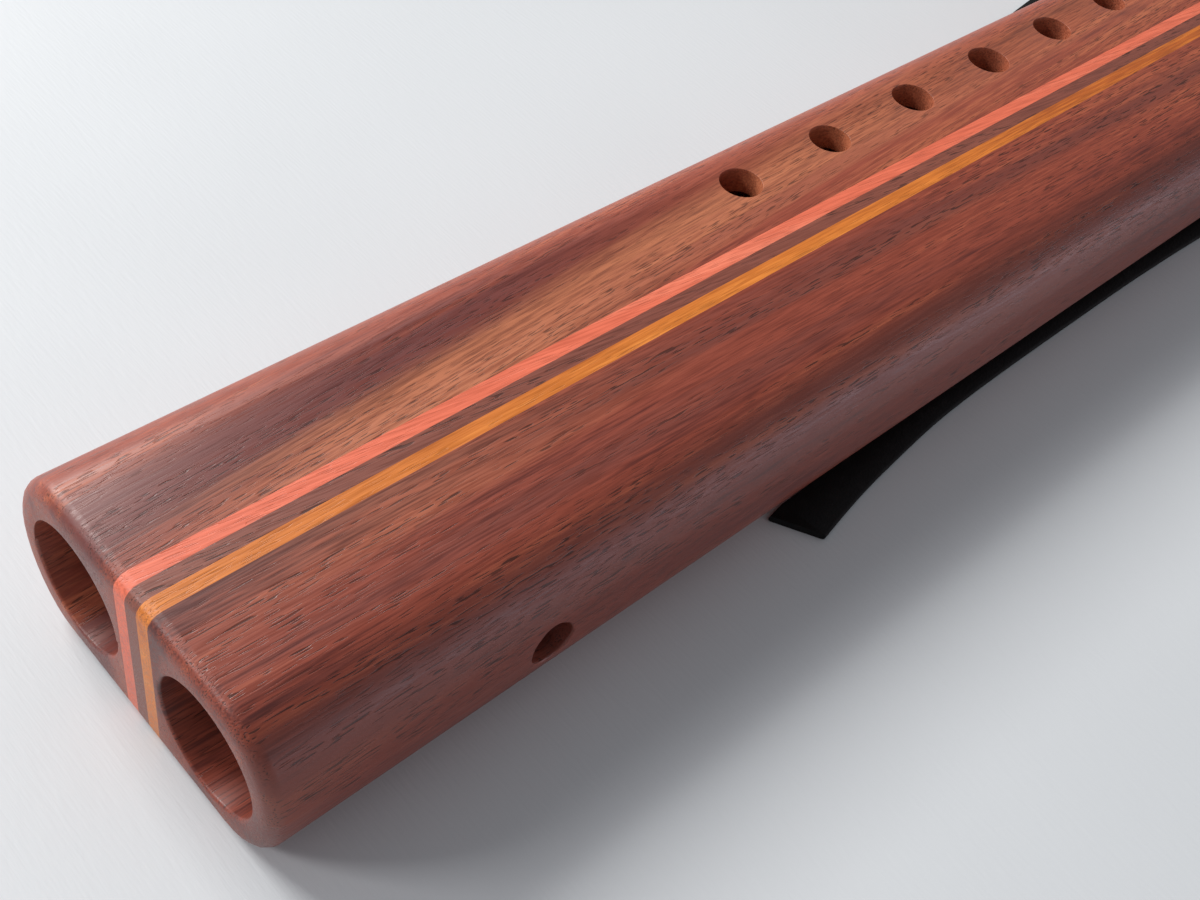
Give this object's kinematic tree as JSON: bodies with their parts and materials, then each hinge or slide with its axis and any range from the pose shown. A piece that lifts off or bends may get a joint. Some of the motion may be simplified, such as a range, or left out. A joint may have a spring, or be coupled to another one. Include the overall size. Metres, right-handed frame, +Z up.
{
  "type": "native american double flute",
  "caption": "Flat oval wooden double flute: a melody chamber and a drone chamber side by side, with sliding blocks tied on by a leather lace.",
  "frame": {"origin": "on the surface the flute lies on, under the middle of its length and width", "axes": "+X from the open foot to the mouthpiece, +Y towards the melody side with the finger holes, +Z up"},
  "size_m": [0.6, 0.0935, 0.0508],
  "materials": {
    "melody_wood": "oiled open-pored reddish-brown hardwood with dark streaks, satin",
    "drone_wood": "oiled open-pored reddish-brown hardwood with dark streaks, satin",
    "rose_wood": "oiled salmon-pink hardwood strip, satin",
    "dark_wood": "oiled dark reddish-brown hardwood, satin",
    "amber_wood": "oiled amber-orange hardwood, satin",
    "mouthpiece_wood": "oiled dark reddish-brown hardwood, satin",
    "block_wood": "oiled dark reddish-brown hardwood, satin",
    "black_leather": "matt black soft leather lace"
  },
  "bodies": {
    "flute": {"upper_melody_stave": "melody_wood", "upper_rose_strip": "rose_wood", "upper_dark_strip": "dark_wood", "upper_amber_strip": "amber_wood", "upper_drone_stave": "drone_wood", "lower_melody_stave": "melody_wood", "lower_rose_strip": "rose_wood", "lower_dark_strip": "dark_wood", "lower_amber_strip": "amber_wood", "lower_drone_stave": "drone_wood", "melody_plug": "dark_wood", "drone_plug": "dark_wood", "flue_plate": "amber_wood", "mouthpiece": "mouthpiece_wood", "lace_binding": "black_leather", "lace_knot": "black_leather", "near_lace_tail": "black_leather", "far_lace_tail": "black_leather"},
    "melody_block": {"melody_block": "block_wood"},
    "drone_block": {"drone_block": "block_wood"}
  },
  "joints": [
    {"name": "melody_block_slide", "type": "slide", "parent": "flute", "child": "melody_block", "axis": [1, 0, 0], "range_m": [-0.003, 0.003]},
    {"name": "drone_block_slide", "type": "slide", "parent": "flute", "child": "drone_block", "axis": [1, 0, 0], "range_m": [-0.003, 0.003]}
  ]
}
